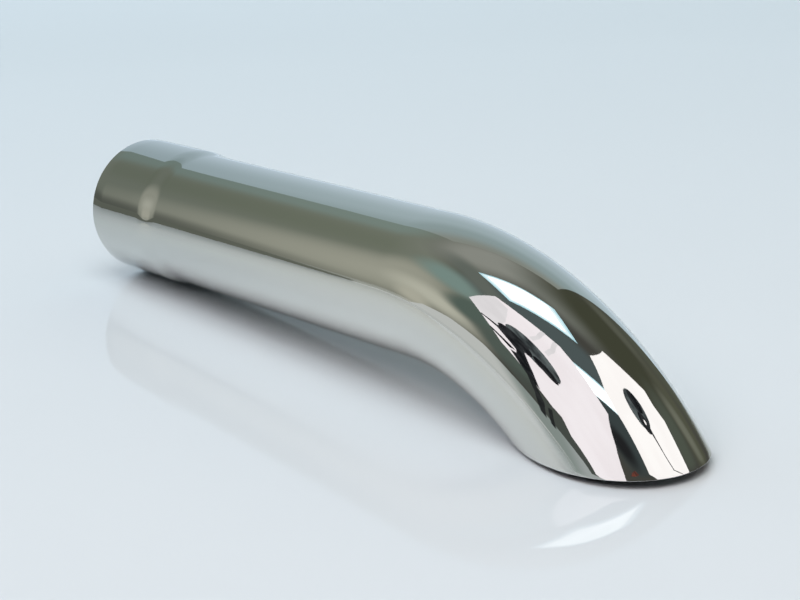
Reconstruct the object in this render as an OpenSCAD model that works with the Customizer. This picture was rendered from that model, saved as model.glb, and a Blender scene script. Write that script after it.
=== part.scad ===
// Turndown exhaust tip.
// One polished steel tube: a slip-on inlet, an S-shaped swage down to the main bore,
// a long straight run, and a bend that a single flat cut opens towards the road.
// It lies as it comes to rest: on the lowest point of its inlet and on the heel of its cut.
// +X runs from the inlet to the outlet, +Y is sideways, +Z is up, all in millimetres.

/* [Tube] */
// Outer diameter of the straight run and the bend
tube_od = 76.2; // [60:0.1:110]
// Wall thickness, the same all the way along
wall = 1.2; // [0.9:0.1:3]
// From the mouth of the inlet to where the bend starts
straight_len = 280; // [160:1:600]

/* [Slip-on inlet] */
// Outer diameter of the pipe that the inlet slides over
pipe_od = 76.2; // [60:0.1:110]
// Difference between the inlet's bore and that pipe
slip_clearance = 0.5; // [0.2:0.05:1]
// How far the pipe slides in
slip_depth = 50.8; // [25:0.1:90]
// Length of the S-shaped step from the inlet down to the tube
swage_len = 18; // [8:0.5:50]
// Width of the edge break inside and outside the mouth
mouth_break = 0.3; // [0.1:0.05:0.4]

/* [Turndown] */
// Radius of the bend, to the middle of the tube
bend_radius = 180; // [130:1:400]
// How far the cut lies below the underside of the straight run
heel_drop = 15.4; // [6:0.1:40]

/* [Finish] */
// Straight steps along each curve of the swage
swage_steps = 10; // [6:1:30]
// Facets round the tube
facets = 80; // [48:8:160]

/* [Hidden] */

tube_r = tube_od / 2;
inlet_bore_r = (pipe_od + slip_clearance) / 2;
inlet_r = inlet_bore_r + wall;

// Places along the tube count from where the bend starts, less than 0 towards the inlet
mouth_x = -straight_len;
swage_x = mouth_x + slip_depth;
tube_x = swage_x + swage_len;

// The cut is parallel to the straight run and meets the bend twice:
// at the heel on the inside of the bend, and at the toe on the outside.
cut_drop = tube_r + heel_drop;
heel_angle = acos((bend_radius - cut_drop) / (bend_radius - tube_r));
heel_x = (bend_radius - tube_r) * sin(heel_angle);
toe_angle = acos((bend_radius - cut_drop) / (bend_radius + tube_r));
toe_x = (bend_radius + tube_r) * sin(toe_angle);

// The tube is bent a little past the toe before it is cut
spare_bend = 4;
bend_angle = toe_angle + spare_bend;

// What the tip can lie on, as [place along the tube, distance below its axis]
rear_rests = [[mouth_x + mouth_break, inlet_r], [swage_x, inlet_r], [tube_x, tube_r]];
front_rests = [[heel_x, cut_drop], [toe_x, cut_drop]];

// How far the straight run leans back once it lies on one point of each
function slope(rear, front) = atan2(front[1] - rear[1], front[0] - rear[0]);
lean = min([for (rear = rear_rests) max([for (front = front_rests) slope(rear, front)])]);
rest_lift = max([for (rest = rear_rests) rest[1] * cos(lean) - rest[0] * sin(lean)]);
back_x = mouth_x * cos(lean) - (inlet_r - mouth_break) * abs(sin(lean));
front_x = toe_x * cos(lean) + cut_drop * sin(lean);
rest_shift = -(back_x + front_x) / 2;

// A curve that leaves one radius and meets the next along the axis: 0 at t = 0, 1 at t = 1
function ease(t) = (1 - cos(180 * t)) / 2;

// Points [radius, length] of one skin of the swage, from the inlet to the tube
function swage_skin(from_r, to_r) = [
    for (i = [0 : swage_steps])
        let (t = i / swage_steps)
        [from_r + (to_r - from_r) * ease(t), swage_x + swage_len * t]
];

function reversed(points) = [for (i = [len(points) - 1 : -1 : 0]) points[i]];

// Half section of the wall from the mouth to the start of the bend
module wall_section() {
    outer = concat(
        [[inlet_r - mouth_break, mouth_x], [inlet_r, mouth_x + mouth_break]],
        swage_skin(inlet_r, tube_r),
        [[tube_r, 0]]
    );
    inner = concat(
        [[inlet_bore_r + mouth_break, mouth_x], [inlet_bore_r, mouth_x + mouth_break]],
        swage_skin(inlet_bore_r, tube_r - wall),
        [[tube_r - wall, 0]]
    );
    polygon(concat(outer, reversed(inner)));
}

// Inlet, swage and straight run, turned about the X axis
module straight_run() {
    rotate([0, 90, 0])
        rotate_extrude($fn = facets)
            wall_section();
}

// Section of the tube, swept round the centre of the bend
module bend() {
    translate([0, 0, -bend_radius])
        rotate([-90, 0, 0])
            rotate([0, 0, -90])
                rotate_extrude(angle = bend_angle, $fn = 2 * facets)
                    translate([bend_radius, 0])
                        difference() {
                            circle(r = tube_r, $fn = facets);
                            circle(r = tube_r - wall, $fn = facets);
                        }
}

// Everything below the plane of the cut, from before the heel to past the toe
module below_the_cut() {
    reach = bend_radius + 2 * tube_od;
    translate([0, -tube_od, -cut_drop - reach])
        cube([reach, 2 * tube_od, reach]);
}

module turndown_tip() {
    color("lightsteelblue")
        translate([rest_shift, 0, rest_lift])
            rotate([0, -lean, 0])
                difference() {
                    union() {
                        straight_run();
                        bend();
                    }
                    below_the_cut();
                }
}

turndown_tip();
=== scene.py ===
# Turndown exhaust tip on a studio sweep, for Blender 4.5. All lengths are in metres.
import math

import bpy
from mathutils import Matrix, Vector


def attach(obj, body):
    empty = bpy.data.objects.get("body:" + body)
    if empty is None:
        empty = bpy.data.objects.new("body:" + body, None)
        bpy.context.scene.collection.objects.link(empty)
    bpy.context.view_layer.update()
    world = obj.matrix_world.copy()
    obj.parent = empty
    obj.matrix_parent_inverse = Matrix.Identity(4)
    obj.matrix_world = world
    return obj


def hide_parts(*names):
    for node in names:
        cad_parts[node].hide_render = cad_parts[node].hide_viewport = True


MM = 0.001

# Sizes of the tip, the same as in the part's source
TUBE_R = 38.1 * MM
WALL = 1.2 * MM
STRAIGHT_LEN = 280 * MM
INLET_BORE_R = 38.35 * MM
INLET_R = INLET_BORE_R + WALL
SLIP_DEPTH = 50.8 * MM
SWAGE_LEN = 18 * MM
MOUTH_BREAK = 0.3 * MM
BEND_R = 180 * MM
HEEL_DROP = 15.4 * MM
CUT_DROP = TUBE_R + HEEL_DROP

# What polishing takes off the outside, and how far it rounds the sawn edge
POLISHED_OFF = 0.02 * MM
CUT_EDGE = 0.35 * MM

# The polish thins towards the inlet: where it is fully bright, where it ends, and what is left of it there
BUFFED_FROM = 0.08
INLET_END = -0.25
INLET_DULLNESS = (0.82, 0.84, 0.86)

# How high the skin's waves and the wheel's lines stand at full depth, and how the lines are drawn out
WAVE_HEIGHT = 1 * MM
LINE_HEIGHT = 0.1 * MM
LINE_STRETCH = (0.03, 1.0, 1.0)

# Refractive indices of the steel and of the sweep's gloss
STEEL_IOR = 2.5
SWEEP_IOR = 1.36

# The sweep's colour near the camera and far from it, the far one darker and a little greener as painted
# shade, where these two are, and its least and most roughness
FLOOR_NEAR_LIT = (0.70, 0.755, 0.81)
FLOOR_FAR_SHADED = (0.645, 0.735, 0.795)
FLOOR_AWAY = (-0.8, 0.6, 0)
FLOOR_NEAR_AT = -0.6
FLOOR_FAR_AT = 1.2
FLOOR_SMOOTHEST = 0.003
FLOOR_ROUGHEST = 0.006

# How finely the tip is meshed
ROUND = 208
SWAGE_RINGS = 28
RUN_RINGS = 10
BEND_RINGS = 72
EDGE_RINGS = 4

# The tip's material slots
OUTSIDE = 0
INSIDE = 1
SAWN = 2

# Places along the tube, from where the bend starts
MOUTH_X = -STRAIGHT_LEN
SWAGE_X = MOUTH_X + SLIP_DEPTH
TUBE_X = SWAGE_X + SWAGE_LEN
HEEL_X = (BEND_R - TUBE_R) * math.sin(math.acos((BEND_R - CUT_DROP) / (BEND_R - TUBE_R)))
TOE_X = (BEND_R + TUBE_R) * math.sin(math.acos((BEND_R - CUT_DROP) / (BEND_R + TUBE_R)))

# How it lies: on the inlet's lowest point and on the heel of the cut
REAR_X = MOUTH_X + MOUTH_BREAK
LEAN = math.atan2(CUT_DROP - INLET_R, HEEL_X - REAR_X)
LIFT = INLET_R * math.cos(LEAN) - REAR_X * math.sin(LEAN)
BACK_X = MOUTH_X * math.cos(LEAN) - (INLET_R - MOUTH_BREAK) * math.sin(LEAN)
FRONT_X = TOE_X * math.cos(LEAN) + CUT_DROP * math.sin(LEAN)
SHIFT = -(BACK_X + FRONT_X) / 2

# The camera that took the photo: angles in degrees, lens and sensor in millimetres
CAMERA_AT = (0.830375, -0.596977, 0.367566)
CAMERA_AZIMUTH = 53.585
CAMERA_ELEVATION = 18.231
CAMERA_ROLL = -2.927
CAMERA_LENS = 92.52
CAMERA_SENSOR = 36
CAMERA_NEAREST = 0.02

# Where the lights and the room are measured from: the outlet, where they are mirrored
MIRROR_AT = Vector((0.15, -0.02, 0.05))

# How far from there they stand, and the share of the left umbrella's distance at which its legs stand
UMBRELLA_DISTANCE = 1.6
BACKDROP_DISTANCE = 1.7
LAMP_DISTANCE = 5.0
ROOM_RADIUS = 12
LEGS_CLOSER = 0.42

# Which way they stand from there: azimuth and elevation in degrees
LEFT_UMBRELLA = (-90, 45)
RIGHT_UMBRELLA = (20, 55)
BACKDROP = (140, 0)

# Places of what lies level or square to the frame
CEILING_HEIGHT = 2.5
TABLE_EDGE_X = -0.72
LOW_BOARD_Y = -0.9
SHEET_HEIGHT = 1 * MM

# Gap between the cards of one light, how far a cloth's edges bow in, and how finely cards are drawn
LAYER_GAP = 0.01
CLOTH_SAG = 0.05
CLOTH_STEPS = 6
ELLIPSE_STEPS = 24

# Between these values of its noise a card's light goes over from one tone to the other
PATCHES_FROM = 0.35
PATCHES_TO = 0.65

# A ceiling panel's light in two close tones, and how far its pale rim and its light are drawn in
PANEL_BRIGHTER = (3.2, 3.4, 3.5)
PANEL_DIMMER = (2.7, 2.9, 3.0)
PALE_INSET = 0.10
LIGHT_INSET = 0.24

# A soft form of the room is drawn only where a direction's share along the form's own is above this
FORM_LIMIT = 0.05

# What the camera, metal and glass see beyond the set, and the dim light that all else gets from there
BACKGROUND_COLOR = (0.80, 0.88, 0.93)
BACKGROUND_STRENGTH = 1.0
FILL_COLOR = (1.0, 0.90, 0.79)
FILL_STRENGTH = 0.03

# What the polished steel keeps of red, green and blue light
STEEL_KEEPS = (0.710, 0.707, 0.667)

# The Mix node's sockets for colours, which share their names with its other sockets
MIX_FACTOR = 0
MIX_A = 6
MIX_B = 7
MIX_RESULT = 2

# The frame's axes
X_AXIS = Vector((1, 0, 0))
Y_AXIS = Vector((0, 1, 0))
Z_AXIS = Vector((0, 0, 1))


# Shader helpers
def node(tree, kind, **values):
    made = tree.nodes.new(kind)
    for name, value in values.items():
        setattr(made, name, value)
    return made


def link(tree, out_socket, in_socket):
    tree.links.new(out_socket, in_socket)


def fill(tree, value, socket):
    """Sets a socket to a number or a colour, or links another socket into it."""
    if isinstance(value, (int, float)):
        socket.default_value = value
    elif isinstance(value, (tuple, list)):
        socket.default_value = (*value[:3], 1)
    else:
        link(tree, value, socket)


def new_group(name, inputs, outputs):
    group = bpy.data.node_groups.new(name, "ShaderNodeTree")
    for label, kind, value in inputs:
        socket = group.interface.new_socket(label, in_out="INPUT", socket_type=kind)
        socket.default_value = value
    for label, kind in outputs:
        group.interface.new_socket(label, in_out="OUTPUT", socket_type=kind)
    return group, node(group, "NodeGroupInput"), node(group, "NodeGroupOutput")


def math_node(tree, operation, a, b=None):
    made = node(tree, "ShaderNodeMath", operation=operation)
    fill(tree, a, made.inputs[0])
    if b is not None:
        fill(tree, b, made.inputs[1])
    return made.outputs[0]


def map_range(tree, value, from_min, from_max, to_min=0.0, to_max=1.0, smooth=True):
    made = node(tree, "ShaderNodeMapRange", interpolation_type="SMOOTHSTEP" if smooth else "LINEAR")
    fill(tree, value, made.inputs["Value"])
    limits = {"From Min": from_min, "From Max": from_max, "To Min": to_min, "To Max": to_max}
    for name, limit in limits.items():
        fill(tree, limit, made.inputs[name])
    return made.outputs["Result"]


def mix_color(tree, fac, a, b, blend="MIX"):
    made = node(tree, "ShaderNodeMix", data_type="RGBA", blend_type=blend)
    fill(tree, fac, made.inputs[MIX_FACTOR])
    fill(tree, a, made.inputs[MIX_A])
    fill(tree, b, made.inputs[MIX_B])
    return made.outputs[MIX_RESULT]


def as_light(value):
    """One channel of a tone from 0 to 255, as light from 0 to 1 by the sRGB curve."""
    share = value / 255
    return share / 12.92 if share <= 0.04045 else ((share + 0.055) / 1.055) ** 2.4


def mirrored(*tone):
    """The light that something in the room gives, from the tone in which the steel shows it."""
    return tuple(as_light(value) / kept for value, kept in zip(tone, STEEL_KEEPS))


# Finishes
def polish_group():
    """What the polishing wheel leaves: faint lines, clouds, slight waves, and less shine at the inlet."""
    group, ins, outs = new_group(
        "PolishMarks",
        [
            ("Line Scale", "NodeSocketFloat", 900.0),
            ("Cloud Scale", "NodeSocketFloat", 22.0),
            ("Wave Scale", "NodeSocketFloat", 16.0),
            ("Line Depth", "NodeSocketFloat", 0.02),
            ("Wave Depth", "NodeSocketFloat", 0.05),
            ("Roughness", "NodeSocketFloat", 0.03),
            ("Roughness Spread", "NodeSocketFloat", 0.02),
        ],
        [("Clouds", "NodeSocketFloat"), ("Brightness", "NodeSocketColor"),
         ("Roughness", "NodeSocketFloat"), ("Normal", "NodeSocketVector")],
    )

    def noise(place, scale, detail):
        made = node(group, "ShaderNodeTexNoise")
        made.inputs["Detail"].default_value = detail
        link(group, place, made.inputs["Vector"])
        link(group, ins.outputs[scale], made.inputs["Scale"])
        return made.outputs["Fac"]

    def bump(height, depth, distance):
        made = node(group, "ShaderNodeBump")
        made.inputs["Distance"].default_value = distance
        link(group, ins.outputs[depth], made.inputs["Strength"])
        link(group, height, made.inputs["Height"])
        return made

    here = node(group, "ShaderNodeTexCoord").outputs["Object"]
    split = node(group, "ShaderNodeSeparateXYZ")
    link(group, here, split.inputs["Vector"])
    buffed = map_range(group, split.outputs["X"], INLET_END, BUFFED_FROM)
    brightness = mix_color(group, buffed, INLET_DULLNESS, (1, 1, 1))
    stretch = node(group, "ShaderNodeMapping")
    stretch.inputs["Scale"].default_value = LINE_STRETCH
    link(group, here, stretch.inputs["Vector"])
    lines = noise(stretch.outputs["Vector"], "Line Scale", 3.0)
    clouds = noise(here, "Cloud Scale", 4.0)
    waves = noise(here, "Wave Scale", 1.0)
    wavy = bump(waves, "Wave Depth", WAVE_HEIGHT)
    lined = bump(lines, "Line Depth", LINE_HEIGHT)
    link(group, wavy.outputs["Normal"], lined.inputs["Normal"])
    spread = math_node(group, "MULTIPLY", clouds, ins.outputs["Roughness Spread"])
    rough = math_node(group, "ADD", spread, ins.outputs["Roughness"])
    link(group, clouds, outs.inputs["Clouds"])
    link(group, brightness, outs.inputs["Brightness"])
    link(group, rough, outs.inputs["Roughness"])
    link(group, lined.outputs["Normal"], outs.inputs["Normal"])
    return group


def metal(name, marks, dark, light, settings):
    """Bare steel: its colour drifts between two tones, and the marks group gives its gloss and its normal."""
    material = bpy.data.materials.new(name)
    material.use_nodes = True
    tree = material.node_tree
    shader = tree.nodes["Principled BSDF"]
    shader.inputs["Metallic"].default_value = 1.0
    shader.inputs["IOR"].default_value = STEEL_IOR
    group = node(tree, "ShaderNodeGroup", node_tree=marks)
    for label, value in settings.items():
        group.inputs[label].default_value = value
    color = mix_color(tree, group.outputs["Clouds"], dark, light)
    color = mix_color(tree, 1.0, color, group.outputs["Brightness"], "MULTIPLY")
    link(tree, color, shader.inputs["Base Color"])
    link(tree, group.outputs["Roughness"], shader.inputs["Roughness"])
    link(tree, group.outputs["Normal"], shader.inputs["Normal"])
    return material


def polished_steel(marks):
    """The outside: a mirror polish."""
    return metal("PolishedSteel", marks, (0.700, 0.697, 0.657), (0.719, 0.716, 0.676), {"Roughness": 0.015})


def drawn_steel(marks):
    """The inside: dull and lined along the tube, as it was drawn."""
    return metal("DrawnSteel", marks, (0.50, 0.49, 0.475), (0.58, 0.57, 0.555),
                 {"Roughness": 0.22, "Roughness Spread": 0.15, "Line Depth": 0.5})


def cut_edge(marks):
    """The sawn edge: paler than the polish, and a little less sharp."""
    return metal("CutEdge", marks, (0.74, 0.74, 0.73), (0.80, 0.80, 0.79), {"Roughness": 0.08})


def floor_material():
    """Glossy pale sweep, darker and a little greener with distance from the camera as painted shade, with a
    faint cloudiness.
    """
    material = bpy.data.materials.new("SweepSurface")
    material.use_nodes = True
    tree = material.node_tree
    shader = tree.nodes["Principled BSDF"]
    shader.inputs["IOR"].default_value = SWEEP_IOR
    coords = node(tree, "ShaderNodeTexCoord")
    away = node(tree, "ShaderNodeVectorMath", operation="DOT_PRODUCT")
    away.inputs[1].default_value = FLOOR_AWAY
    link(tree, coords.outputs["Object"], away.inputs[0])
    # Painted shade: the sweep's colour goes darker and a little greener away from the camera
    distance = map_range(tree, away.outputs["Value"], FLOOR_NEAR_AT, FLOOR_FAR_AT)
    painted_falloff = mix_color(tree, distance, FLOOR_NEAR_LIT, FLOOR_FAR_SHADED)
    clouds = node(tree, "ShaderNodeTexNoise")
    clouds.inputs["Scale"].default_value = 3.0
    link(tree, coords.outputs["Object"], clouds.inputs["Vector"])
    shade = mix_color(tree, clouds.outputs["Fac"], (0.98, 0.98, 0.98), (1, 1, 1))
    link(tree, mix_color(tree, 1.0, painted_falloff, shade, "MULTIPLY"), shader.inputs["Base Color"])
    rough = map_range(tree, clouds.outputs["Fac"], 0.3, 0.7, FLOOR_SMOOTHEST, FLOOR_ROUGHEST)
    link(tree, rough, shader.inputs["Roughness"])
    return material


# The tip
def ease(t):
    """The swage's curve: 0 at the inlet, 1 at the tube, and level at both."""
    return (1 - math.cos(math.pi * t)) / 2


def resting(x, y, z):
    """A point in the tube's own frame, laid down as the tip rests."""
    return Vector((
        x * math.cos(LEAN) - z * math.sin(LEAN) + SHIFT,
        y,
        x * math.sin(LEAN) + z * math.cos(LEAN) + LIFT,
    ))


def on_straight(x, radius, around):
    """A point on the straight run: around is its angle from the top."""
    return Vector((x, radius * math.sin(around), radius * math.cos(around)))


def on_bend(turn, radius, around):
    """A point on the bend: turn is how far round the bend it lies."""
    reach = BEND_R + radius * math.cos(around)
    return Vector((reach * math.sin(turn), radius * math.sin(around), reach * math.cos(turn) - BEND_R))


def cut_turn(radius, around):
    """How far round the bend the polished cut meets this line of the skin."""
    return math.acos((BEND_R - CUT_DROP + POLISHED_OFF) / (BEND_R + radius * math.cos(around)))


def skin_profile(mouth_r, tube_r):
    """(x, radius) of one skin from behind the mouth's edge to where the bend starts."""
    points = []
    for i in range(RUN_RINGS // 2):
        t = i / (RUN_RINGS // 2)
        points.append((REAR_X + (SWAGE_X - REAR_X) * t, mouth_r))
    for i in range(SWAGE_RINGS + 1):
        t = i / SWAGE_RINGS
        points.append((SWAGE_X + SWAGE_LEN * t, mouth_r + (tube_r - mouth_r) * ease(t)))
    for i in range(1, RUN_RINGS):
        t = i / RUN_RINGS
        points.append((TUBE_X * (1 - t), tube_r))
    return points


def curve_between(a, corner, b):
    """Points on the rounded edge that leaves a towards corner and arrives at b, both ends included."""
    points = []
    for i in range(EDGE_RINGS + 1):
        t = i / EDGE_RINGS
        points.append(a * (1 - t) ** 2 + corner * 2 * t * (1 - t) + b * t ** 2)
    return points


def mouth_line(outer_r, around):
    """Over the mouth: from the bore round both edge breaks to the outside."""
    face_x = MOUTH_X + POLISHED_OFF
    inner = curve_between(on_straight(REAR_X, INLET_BORE_R, around),
                          on_straight(face_x, INLET_BORE_R, around),
                          on_straight(face_x, INLET_BORE_R + MOUTH_BREAK, around))
    outer = curve_between(on_straight(face_x, outer_r - MOUTH_BREAK, around),
                          on_straight(face_x, outer_r, around),
                          on_straight(REAR_X, outer_r, around))
    return inner + outer


def run_line(mouth_r, tube_r, around):
    """Along one skin of the inlet, the swage and the straight run."""
    return [on_straight(x, radius, around) for x, radius in skin_profile(mouth_r, tube_r)[1:]]


def bend_line(radius, around):
    """Round the bend on one skin, then where the sawn edge's rounding starts and the corner it rounds."""
    end = cut_turn(radius, around)
    stop = end - CUT_EDGE / (BEND_R + radius * math.cos(around))
    points = [on_bend(stop * i / BEND_RINGS, radius, around) for i in range(BEND_RINGS)]
    return points, on_bend(stop, radius, around), on_bend(end, radius, around)


def line_along(around):
    """One line over both skins at this angle, and how many points come before its cut and its inside."""
    outer_mouth = INLET_R - POLISHED_OFF
    outer_tube = TUBE_R - POLISHED_OFF
    inner_tube = TUBE_R - WALL
    outer_bend, outer_stop, outer_corner = bend_line(outer_tube, around)
    inner_bend, inner_stop, inner_corner = bend_line(inner_tube, around)
    across = (inner_corner - outer_corner).normalized() * CUT_EDGE
    outside = mouth_line(outer_mouth, around) + run_line(outer_mouth, outer_tube, around) + outer_bend
    cut = curve_between(outer_stop, outer_corner, outer_corner + across)
    cut += curve_between(inner_corner - across, inner_corner, inner_stop)
    inside = run_line(INLET_BORE_R, inner_tube, around) + inner_bend
    return outside + cut + inside[::-1], len(outside), len(outside) + len(cut)


def metal_of(ring, before_cut, before_inside):
    """The material slot of the strip after this ring."""
    if ring >= before_inside - 1:
        return INSIDE
    if ring >= before_cut:
        return SAWN
    return OUTSIDE


def make_tip(outside_metal, inside_metal, edge_metal):
    """The whole tip as one closed skin of four-sided faces between lines that run along it."""
    vertices = []
    for i in range(ROUND):
        points, before_cut, before_inside = line_along(2 * math.pi * i / ROUND)
        vertices += [resting(*point) for point in points]
    rings = len(points)
    faces = []
    slots = []
    for i in range(ROUND):
        k = (i + 1) % ROUND
        for j in range(rings):
            m = (j + 1) % rings
            faces.append((i * rings + j, i * rings + m, k * rings + m, k * rings + j))
            slots.append(metal_of(j, before_cut, before_inside))
    mesh = bpy.data.meshes.new("turndown_tip_skin")
    mesh.from_pydata(vertices, [], faces)
    mesh.update()
    for material in (outside_metal, inside_metal, edge_metal):
        mesh.materials.append(material)
    mesh.polygons.foreach_set("material_index", slots)
    mesh.polygons.foreach_set("use_smooth", [True] * len(faces))
    tip = bpy.data.objects.new("turndown_tip_polished", mesh)
    bpy.context.collection.objects.link(tip)
    return tip


# The studio
def plain_object(name, points, faces, material):
    mesh = bpy.data.meshes.new(name)
    mesh.from_pydata(points, [], faces)
    mesh.materials.append(material)
    made = bpy.data.objects.new(name, mesh)
    bpy.context.collection.objects.link(made)
    return made


def seen_in_metal_only(card):
    """Leaves a card or the room to glossy rays, so that the metal and the floor's gloss mirror it."""
    card.visible_camera = False
    card.visible_diffuse = False
    card.visible_shadow = False
    card.visible_transmission = False
    card.visible_volume_scatter = False


def direction(azimuth, elevation):
    """The unit vector that points this way, from degrees."""
    a, e = math.radians(azimuth), math.radians(elevation)
    return Vector((math.cos(a) * math.cos(e), math.sin(a) * math.cos(e), math.sin(e)))


def card_axes(toward):
    """The two axes of a card that faces back along toward."""
    right = toward.cross(Z_AXIS).normalized()
    return right, right.cross(toward)


def card_place(toward, distance):
    """The middle and the two axes of a card that stands this far away."""
    right, up = card_axes(toward)
    return MIRROR_AT + toward * distance, right, up


def flat_card(name, centre, right, up, outline, material, layer=0):
    """A flat card: outline is in metres along right and up, and each layer stands nearer to the tip."""
    toward = (centre - MIRROR_AT).normalized()
    nearer = layer * LAYER_GAP
    points = [centre + right * u + up * v - toward * nearer for u, v in outline]
    card = plain_object(name, points, [tuple(range(len(points)))], material)
    seen_in_metal_only(card)


def scalloped(corners):
    """An umbrella cloth's outline: between its ribs each edge bows inwards by a share of its length."""
    middle = Vector((sum(c[0] for c in corners), sum(c[1] for c in corners))) / len(corners)
    outline = []
    for i, corner in enumerate(corners):
        a, b = Vector(corner), Vector(corners[(i + 1) % len(corners)])
        inward = (middle - (a + b) / 2).normalized() * (b - a).length * CLOTH_SAG
        for k in range(CLOTH_STEPS):
            t = k / CLOTH_STEPS
            p = a.lerp(b, t) + inward * 4 * t * (1 - t)
            outline.append((p.x, p.y))
    return outline


def ellipse(centre, half_width, half_height):
    turn = 2 * math.pi / ELLIPSE_STEPS
    return [(centre[0] + half_width * math.cos(turn * i), centre[1] + half_height * math.sin(turn * i))
            for i in range(ELLIPSE_STEPS)]


def emission_tree(material):
    """Gives the material a plain light in place of its usual shader."""
    material.use_nodes = True
    tree = material.node_tree
    tree.nodes.remove(tree.nodes["Principled BSDF"])
    shader = node(tree, "ShaderNodeEmission")
    link(tree, shader.outputs["Emission"], tree.nodes["Material Output"].inputs["Surface"])
    return tree, shader


def glow(name, color, second, scale):
    """A card's light: two close tones in soft patches."""
    material = bpy.data.materials.new(name)
    tree, shader = emission_tree(material)
    coords = node(tree, "ShaderNodeTexCoord")
    clouds = node(tree, "ShaderNodeTexNoise")
    clouds.inputs["Scale"].default_value = scale
    link(tree, coords.outputs["Object"], clouds.inputs["Vector"])
    patches = map_range(tree, clouds.outputs["Fac"], PATCHES_FROM, PATCHES_TO)
    link(tree, mix_color(tree, patches, color, second), shader.inputs["Color"])
    return material


def umbrella(name, toward, corners, cloth, head, cores, folds, clutter):
    """A studio umbrella seen from inside: its cloth, darker folds, the lamp head and what holds it."""
    place = card_place(toward, UMBRELLA_DISTANCE)
    dark = glow("HeadGrey", mirrored(92, 100, 100), mirrored(44, 48, 50), 6.0)
    black = glow("StandBlack", mirrored(22, 24, 26), mirrored(46, 48, 50), 9.0)
    fold = glow("ClothFold", mirrored(216, 213, 214), mirrored(222, 219, 220), 3.0)
    flat_card(name + "_cloth", *place, scalloped(corners), cloth)
    for i, outline in enumerate(folds):
        flat_card(f"{name}_fold_{i}", *place, outline, fold, layer=1)
    flat_card(name + "_head", *place, ellipse(*head), dark, layer=2)
    for i, core in enumerate(cores):
        flat_card(f"{name}_core_{i}", *place, ellipse(*core), black, layer=3)
    for i, outline in enumerate(clutter):
        flat_card(f"{name}_stand_{i}", *place, outline, black, layer=4)
    return place


def make_left_umbrella():
    cloth = glow("ClothPink", mirrored(237, 230, 232), mirrored(241, 235, 237), 2.0)
    corners = [(-0.78, 0.585), (-0.47, 0.735), (-0.29, 0.81), (-0.14, 0.84), (0.60, 0.59), (0.87, 0.03),
               (0.68, -0.50), (0.42, -0.74), (0.32, -0.79), (0.20, -0.77), (0.19, -0.94), (-0.02, -0.99),
               (-0.25, -1.30), (-1.15, -0.80), (-0.84, -0.25), (-0.80, 0.10)]
    folds = [
        [(0.44, 0.50), (0.60, 0.57), (0.86, 0.03), (0.76, -0.14), (0.60, -0.20), (0.47, 0.10), (0.44, 0.30)],
        [(-0.11, 0.80), (-0.06, 0.80), (-0.03, 0.50), (0.05, 0.26), (0.01, 0.25), (-0.08, 0.50)],
        [(0.03, 0.76), (0.08, 0.74), (0.13, 0.45), (0.21, 0.26), (0.17, 0.25), (0.09, 0.45)],
    ]
    head = ((0.20, 0.00), 0.28, 0.20)
    cores = [((0.10, -0.12), 0.13, 0.08), ((0.40, -0.10), 0.17, 0.12)]
    clutter = [
        [(0.32, -0.05), (0.40, 0.00), (0.50, -0.02), (0.58, -0.135), (0.75, -0.15), (0.75, -0.175),
         (0.60, -0.185), (0.54, -0.24), (0.45, -0.32), (0.48, -0.40), (0.56, -0.45),
         (0.53, -0.58), (0.48, -0.69), (0.39, -0.70), (0.35, -0.48), (0.34, -0.27)],
        [(0.47, -0.36), (0.70, -0.30), (0.71, -0.34), (0.55, -0.42)],
    ]
    toward = direction(*LEFT_UMBRELLA)
    umbrella("umbrella_left", toward, corners, cloth, head, cores, folds, clutter)
    make_left_legs(toward)


def make_left_legs(toward):
    """The legs of the left umbrella's stand, which stand nearer than its cloth."""
    legs = [
        [(0.41, -0.66), (0.49, -0.68), (0.56, -0.96), (0.80, -1.42), (0.72, -1.40), (0.46, -0.98)],
        [(0.34, -0.93), (0.42, -0.98), (0.64, -1.36), (0.56, -1.34)],
    ]
    place = card_place(toward, UMBRELLA_DISTANCE * LEGS_CLOSER)
    black = glow("LegBlack", mirrored(26, 28, 29), mirrored(44, 46, 46), 9.0)
    for i, outline in enumerate(legs):
        closer = [(u * LEGS_CLOSER, v * LEGS_CLOSER) for u, v in outline]
        flat_card(f"umbrella_left_leg_{i}", *place, closer, black)


def make_right_umbrella():
    cloth = glow("ClothWhite", mirrored(251, 247, 244), mirrored(254, 251, 248), 2.0)
    corners = [(-0.99, 0.00), (-0.56, 0.48), (-0.02, 0.64), (0.45, 0.48), (0.60, 0.34), (0.905, -0.14),
               (0.86, -0.55), (0.30, -1.20), (-0.50, -1.20), (-0.73, -0.75), (-0.78, -0.52), (-0.96, -0.26),
               (-0.90, -0.12)]
    head = ((-0.14, 0.05), 0.23, 0.17)
    cores = [((-0.23, 0.08), 0.11, 0.10), ((-0.07, -0.05), 0.10, 0.09)]
    clutter = [
        [(-0.15, -0.10), (-0.07, -0.11), (-0.06, -0.20), (-0.05, -0.32), (-0.08, -0.44), (-0.19, -0.58),
         (-0.34, -0.74), (-0.36, -0.73), (-0.22, -0.56), (-0.11, -0.43), (-0.08, -0.32), (-0.10, -0.20)],
    ]
    place = umbrella("umbrella_right", direction(*RIGHT_UMBRELLA), corners, cloth, head, cores, (), clutter)
    flat_card("umbrella_right_glint", *place, ellipse((-0.096, -0.054), 0.028, 0.02), cloth, layer=5)


def make_indicator():
    """A small red light on the stand between the umbrellas."""
    place = card_place(direction(*LEFT_UMBRELLA), UMBRELLA_DISTANCE)
    red = glow("IndicatorRed", mirrored(118, 64, 52), mirrored(60, 44, 41), 12.0)
    outline = [(-1.26, 0.22), (-1.14, 0.15), (-1.04, -0.02), (-1.00, -0.11), (-1.11, -0.06), (-1.20, 0.06)]
    flat_card("indicator", *place, outline, red)


def inset(outline, share):
    """The same outline drawn in towards its middle by this share."""
    middle = Vector((sum(p[0] for p in outline), sum(p[1] for p in outline))) / len(outline)
    return [tuple(Vector(p).lerp(middle, share)) for p in outline]


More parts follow.
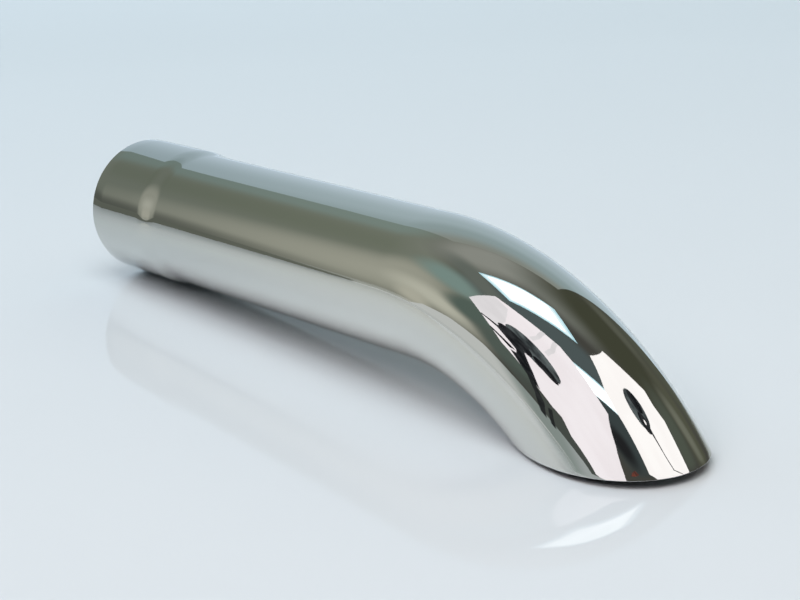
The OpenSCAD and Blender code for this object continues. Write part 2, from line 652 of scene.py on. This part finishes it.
def ceiling_panel(name, outline):
    """A fluorescent ceiling panel: white, with cyan edges."""
    place = (Z_AXIS * CEILING_HEIGHT, -Y_AXIS, -X_AXIS)
    edge = glow("PanelEdge", mirrored(176, 216, 226), mirrored(196, 232, 240), 4.0)
    pale = glow("PanelPale", mirrored(220, 243, 248), mirrored(230, 247, 250), 4.0)
    light = glow("PanelLight", PANEL_BRIGHTER, PANEL_DIMMER, 3.0)
    flat_card(name + "_edge", *place, outline, edge)
    flat_card(name + "_pale", *place, inset(outline, PALE_INSET), pale, layer=2)
    flat_card(name + "_light", *place, inset(outline, LIGHT_INSET), light, layer=4)


def make_ceiling():
    ceiling_panel("panel_near", [(0.54, 1.08), (0.84, 0.52), (-0.10, -0.48), (-0.51, 0.04), (-0.14, 0.46)])
    ceiling_panel("panel_far", [(1.55, 0.25), (1.90, -0.25), (-0.30, -2.35), (-0.62, -2.20)])


def drifting(name, axis, first, steps):
    """A card's light that changes along one axis: from the first tone through each (low, high, tone)."""
    material = bpy.data.materials.new(name)
    tree, shader = emission_tree(material)
    coords = node(tree, "ShaderNodeTexCoord")
    split = node(tree, "ShaderNodeSeparateXYZ")
    link(tree, coords.outputs["Object"], split.inputs["Vector"])
    color = mirrored(*first)
    for low, high, tone in steps:
        fac = map_range(tree, split.outputs[axis], low, high)
        color = mix_color(tree, fac, color, mirrored(*tone))
    link(tree, color, shader.inputs["Color"])
    return material


def make_backdrop():
    """The rising part of the sweep behind the tip, paler towards the floor."""
    pale = drifting("SweepBack", "Z", (184, 199, 206),
                    [(0.0, 0.15, (167, 182, 188)), (0.15, 0.9, (150, 166, 169)), (0.9, 1.4, (134, 150, 150)),
                     (1.4, 2.2, (127, 132, 124))])
    centre, right, up = card_place(direction(*BACKDROP), BACKDROP_DISTANCE)
    centre.z = 0
    outline = [(-0.95, 0), (0.9, 0), (0.9, 2.3), (-0.83, 2.3), (-0.86, 1.7), (-0.90, 1.25), (-1.01, 0.95),
               (-0.96, 0.85)]
    flat_card("sweep_back", centre, right, up, outline, pale)


def make_table_edge():
    """A dark strip at the edge of the set, on the left."""
    dark = glow("TableEdge", mirrored(86, 90, 80), mirrored(98, 101, 91), 3.0)
    outline = [(-0.62, 0), (-0.15, 0), (-0.15, 0.055), (-0.48, 0.055), (-0.62, 0.02)]
    flat_card("table_edge", X_AXIS * TABLE_EDGE_X, Y_AXIS, Z_AXIS, outline, dark)


def make_low_board():
    """A pale board that stands in front."""
    pale = drifting("LowBoard", "X", (181, 184, 180),
                    [(-0.42, -0.24, (128, 138, 133)), (-0.10, 0.10, (152, 158, 156))])
    outline = [(-0.85, 0), (-0.76, 0.11), (-0.6, 0.19), (-0.42, 0.21), (-0.3, 0.17), (-0.1, 0.15),
               (0.1, 0.17), (0.4, 0.14), (0.4, 0)]
    flat_card("low_board", Y_AXIS * LOW_BOARD_Y, X_AXIS, Z_AXIS, outline, pale)


def make_paper_sheet():
    """A pale sheet that lies in front."""
    sheet = glow("PaperSheet", mirrored(171, 175, 171), mirrored(175, 179, 176), 2.0)
    outline = [(-0.66, -0.55), (-0.30, -0.45), (-0.05, -0.50), (-0.05, -0.88), (-0.72, -0.88)]
    flat_card("paper_sheet", Z_AXIS * SHEET_HEIGHT, X_AXIS, Y_AXIS, outline, sheet)


def soft_patch_group():
    """A soft oval of another tone. Right and Up come divided by the tangents of its half width and height."""
    group, ins, outs = new_group(
        "SoftPatch",
        [
            ("Direction", "NodeSocketVector", (0, 0, 1)),
            ("Toward", "NodeSocketVector", (0, 0, 1)),
            ("Right", "NodeSocketVector", (1, 0, 0)),
            ("Up", "NodeSocketVector", (0, 1, 0)),
            ("Softness", "NodeSocketFloat", 0.5),
            ("Base", "NodeSocketColor", (0, 0, 0, 1)),
            ("Tone", "NodeSocketColor", (0, 0, 0, 1)),
        ],
        [("Color", "NodeSocketColor")],
    )

    def along(axis):
        dot = node(group, "ShaderNodeVectorMath", operation="DOT_PRODUCT")
        link(group, ins.outputs["Direction"], dot.inputs[0])
        link(group, ins.outputs[axis], dot.inputs[1])
        return dot.outputs["Value"]

    depth = along("Toward")
    safe = math_node(group, "MAXIMUM", depth, FORM_LIMIT)
    across = math_node(group, "DIVIDE", along("Right"), safe)
    rising = math_node(group, "DIVIDE", along("Up"), safe)
    across_squared = math_node(group, "MULTIPLY", across, across)
    rising_squared = math_node(group, "MULTIPLY", rising, rising)
    radius = math_node(group, "SQRT", math_node(group, "ADD", across_squared, rising_squared))
    outer = math_node(group, "ADD", 1.0, ins.outputs["Softness"])
    inner = math_node(group, "SUBTRACT", 1.0, ins.outputs["Softness"])
    fade = map_range(group, radius, outer, inner)
    front = math_node(group, "GREATER_THAN", depth, FORM_LIMIT)
    share = math_node(group, "MULTIPLY", fade, front)
    link(group, mix_color(group, share, ins.outputs["Base"], ins.outputs["Tone"]), outs.inputs["Color"])
    return group


# The room's soft forms: azimuth, elevation, half width, half height, tilt, softness, tone as mirrored
ROOM_BASE = (66, 66, 61)
ROOM_FORMS = [
    (-165, 30, 40, 30, 0, 0.5, (110, 115, 103)),
    (-166, 56, 16, 8, 0, 0.7, (66, 72, 61)),
    (152, 62, 28, 12, 0, 0.6, (133, 135, 127)),
    (106, 66, 14, 12, 0, 0.6, (108, 111, 103)),
    (92, 44, 22, 22, 0, 0.6, (62, 64, 51)),
    (64, 33, 12, 9, 0, 0.6, (76, 82, 72)),
    (86, 16, 14, 10, 0, 0.6, (79, 81, 67)),
    (82, 20, 5, 8, 0, 0.7, (105, 107, 94)),
    (105, 25, 7, 6, 0, 0.6, (83, 85, 73)),
    (108, 5, 8, 14, 0, 0.5, (75, 78, 66)),
    (170, 32, 9, 12, 0, 0.6, (114, 128, 120)),
    (-167, 30, 9, 7, 15, 0.8, (103, 109, 95)),
    (-60, 78, 40, 10, 0, 0.5, (75, 85, 85)),
    (-38, 54, 18, 14, 0, 0.5, (56, 64, 64)),
    (-45, 47, 8, 5, 0, 0.6, (33, 34, 35)),
    (-143, 58, 14, 6, 0, 0.6, (94, 100, 93)),
    (-141, 17, 11, 19, 0, 0.5, (147, 148, 134)),
    (-132, 15, 9, 7, 0, 0.8, (174, 174, 159)),
    (-136, 5, 2.5, 6, 0, 0.7, (166, 165, 150)),
    (-137, 42, 10, 8, 0, 0.6, (115, 135, 128)),
    (-122, 31, 6, 12, 22, 0.4, (80, 93, 85)),
    (-114, 20, 7, 9, 22, 0.5, (78, 88, 81)),
    (-100, 13, 14, 6, 0, 0.4, (68, 73, 68)),
    (-158, 0, 11, 6, -6, 0.6, (82, 85, 77)),
]


def room_material():
    """The dark room round the set, with soft forms by direction. Their angles are in degrees."""
    material = bpy.data.materials.new("RoomWalls")
    tree, shader = emission_tree(material)
    patch = soft_patch_group()
    coords = node(tree, "ShaderNodeTexCoord")
    unit = node(tree, "ShaderNodeVectorMath", operation="NORMALIZE")
    link(tree, coords.outputs["Object"], unit.inputs[0])
    below = mirrored(*ROOM_BASE)
    for azimuth, elevation, half_width, half_height, tilt, softness, tone in ROOM_FORMS:
        toward = direction(azimuth, elevation)
        right, up = card_axes(toward)
        turn = Matrix.Rotation(math.radians(tilt), 3, -toward)
        form = node(tree, "ShaderNodeGroup", node_tree=patch)
        link(tree, unit.outputs["Vector"], form.inputs["Direction"])
        form.inputs["Toward"].default_value = toward
        form.inputs["Right"].default_value = turn @ right / math.tan(math.radians(half_width))
        form.inputs["Up"].default_value = turn @ up / math.tan(math.radians(half_height))
        form.inputs["Softness"].default_value = softness
        fill(tree, mirrored(*tone), form.inputs["Tone"])
        fill(tree, below, form.inputs["Base"])
        below = form.outputs["Color"]
    link(tree, below, shader.inputs["Color"])
    return material


def make_room():
    bpy.ops.mesh.primitive_uv_sphere_add(segments=64, ring_count=32, radius=ROOM_RADIUS, location=MIRROR_AT)
    room = bpy.context.object
    room.name = "room"
    room.data.materials.append(room_material())
    seen_in_metal_only(room)


def make_floor():
    half = ROOM_RADIUS
    corners = [(-half, -half, 0), (half, -half, 0), (half, half, 0), (-half, half, 0)]
    plain_object("floor", corners, [(0, 1, 2, 3)], floor_material())


# The soft lamps: name, azimuth and elevation in degrees, width, power in watts, colour
LAMPS = [
    ("lamp_left", -90, 55, 4.5, 121, (1.0, 0.88, 0.85)),
    ("lamp_front", -30, 60, 4.0, 58, (1.0, 0.92, 0.86)),
    ("lamp_above", -30, 75, 3.0, 75, (0.93, 1.0, 0.98)),
    ("lamp_rear", -170, 45, 4.5, 98, (0.77, 0.91, 1.0)),
    ("lamp_sweep", 120, 25, 4.5, 50, (0.87, 1.0, 0.93)),
    ("lamp_right", 70, 40, 4.5, 34, (1.0, 0.79, 0.68)),
]


def area_lamp(name, toward, size, power, color):
    """A soft round lamp that shines on the tip and isn't mirrored itself."""
    data = bpy.data.lights.new(name, "AREA")
    data.shape = "DISK"
    data.size = size
    data.energy = power
    data.color = color
    lamp = bpy.data.objects.new(name, data)
    lamp.location = MIRROR_AT + toward * LAMP_DISTANCE
    lamp.rotation_euler = (-toward).to_track_quat("-Z", "Y").to_euler()
    lamp.visible_glossy = False
    bpy.context.collection.objects.link(lamp)


def make_lamps():
    for name, azimuth, elevation, size, power, color in LAMPS:
        area_lamp(name, direction(azimuth, elevation), size, power, color)


def make_world():
    """Pale where the camera, metal or glass looks at it, and a dim warm room for everything else."""
    world = bpy.data.worlds.new("Studio")
    bpy.context.scene.world = world
    world.use_nodes = True
    tree = world.node_tree
    background = tree.nodes["Background"]
    rays = node(tree, "ShaderNodeLightPath")
    seen = math_node(tree, "MAXIMUM", rays.outputs["Is Camera Ray"], rays.outputs["Is Glossy Ray"])
    seen = math_node(tree, "MAXIMUM", seen, rays.outputs["Is Transmission Ray"])
    color = mix_color(tree, seen, FILL_COLOR, BACKGROUND_COLOR)
    strength = map_range(tree, seen, 0.0, 1.0, FILL_STRENGTH, BACKGROUND_STRENGTH, smooth=False)
    link(tree, color, background.inputs["Color"])
    link(tree, strength, background.inputs["Strength"])


def make_camera():
    data = bpy.data.cameras.new("photo_camera")
    data.lens = CAMERA_LENS
    data.sensor_width = CAMERA_SENSOR
    data.sensor_fit = "HORIZONTAL"
    data.clip_start = CAMERA_NEAREST
    camera = bpy.data.objects.new("photo_camera", data)
    turned = (Matrix.Rotation(math.radians(CAMERA_AZIMUTH), 4, "Z")
              @ Matrix.Rotation(math.radians(90 - CAMERA_ELEVATION), 4, "X")
              @ Matrix.Rotation(math.radians(CAMERA_ROLL), 4, "Z"))
    camera.matrix_world = Matrix.Translation(CAMERA_AT) @ turned
    bpy.context.collection.objects.link(camera)
    bpy.context.scene.camera = camera


# The scene
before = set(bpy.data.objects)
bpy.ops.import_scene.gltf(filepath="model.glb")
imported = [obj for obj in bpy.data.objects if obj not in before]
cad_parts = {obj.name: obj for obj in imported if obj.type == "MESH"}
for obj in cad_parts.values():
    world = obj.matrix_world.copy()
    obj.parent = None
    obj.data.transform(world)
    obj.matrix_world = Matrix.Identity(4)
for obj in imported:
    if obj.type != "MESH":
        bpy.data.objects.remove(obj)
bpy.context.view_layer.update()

marks = polish_group()
polished = polished_steel(marks)
drawn = drawn_steel(marks)
sawn = cut_edge(marks)

tip = make_tip(polished, drawn, sawn)
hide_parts("turndown_tip")
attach(tip, "root")

make_floor()
make_backdrop()
make_table_edge()
make_low_board()
make_paper_sheet()
make_left_umbrella()
make_right_umbrella()
make_indicator()
make_ceiling()
make_room()
make_lamps()
make_world()
make_camera()
bpy.context.scene.view_settings.view_transform = "Standard"

bpy.context.view_layer.update()
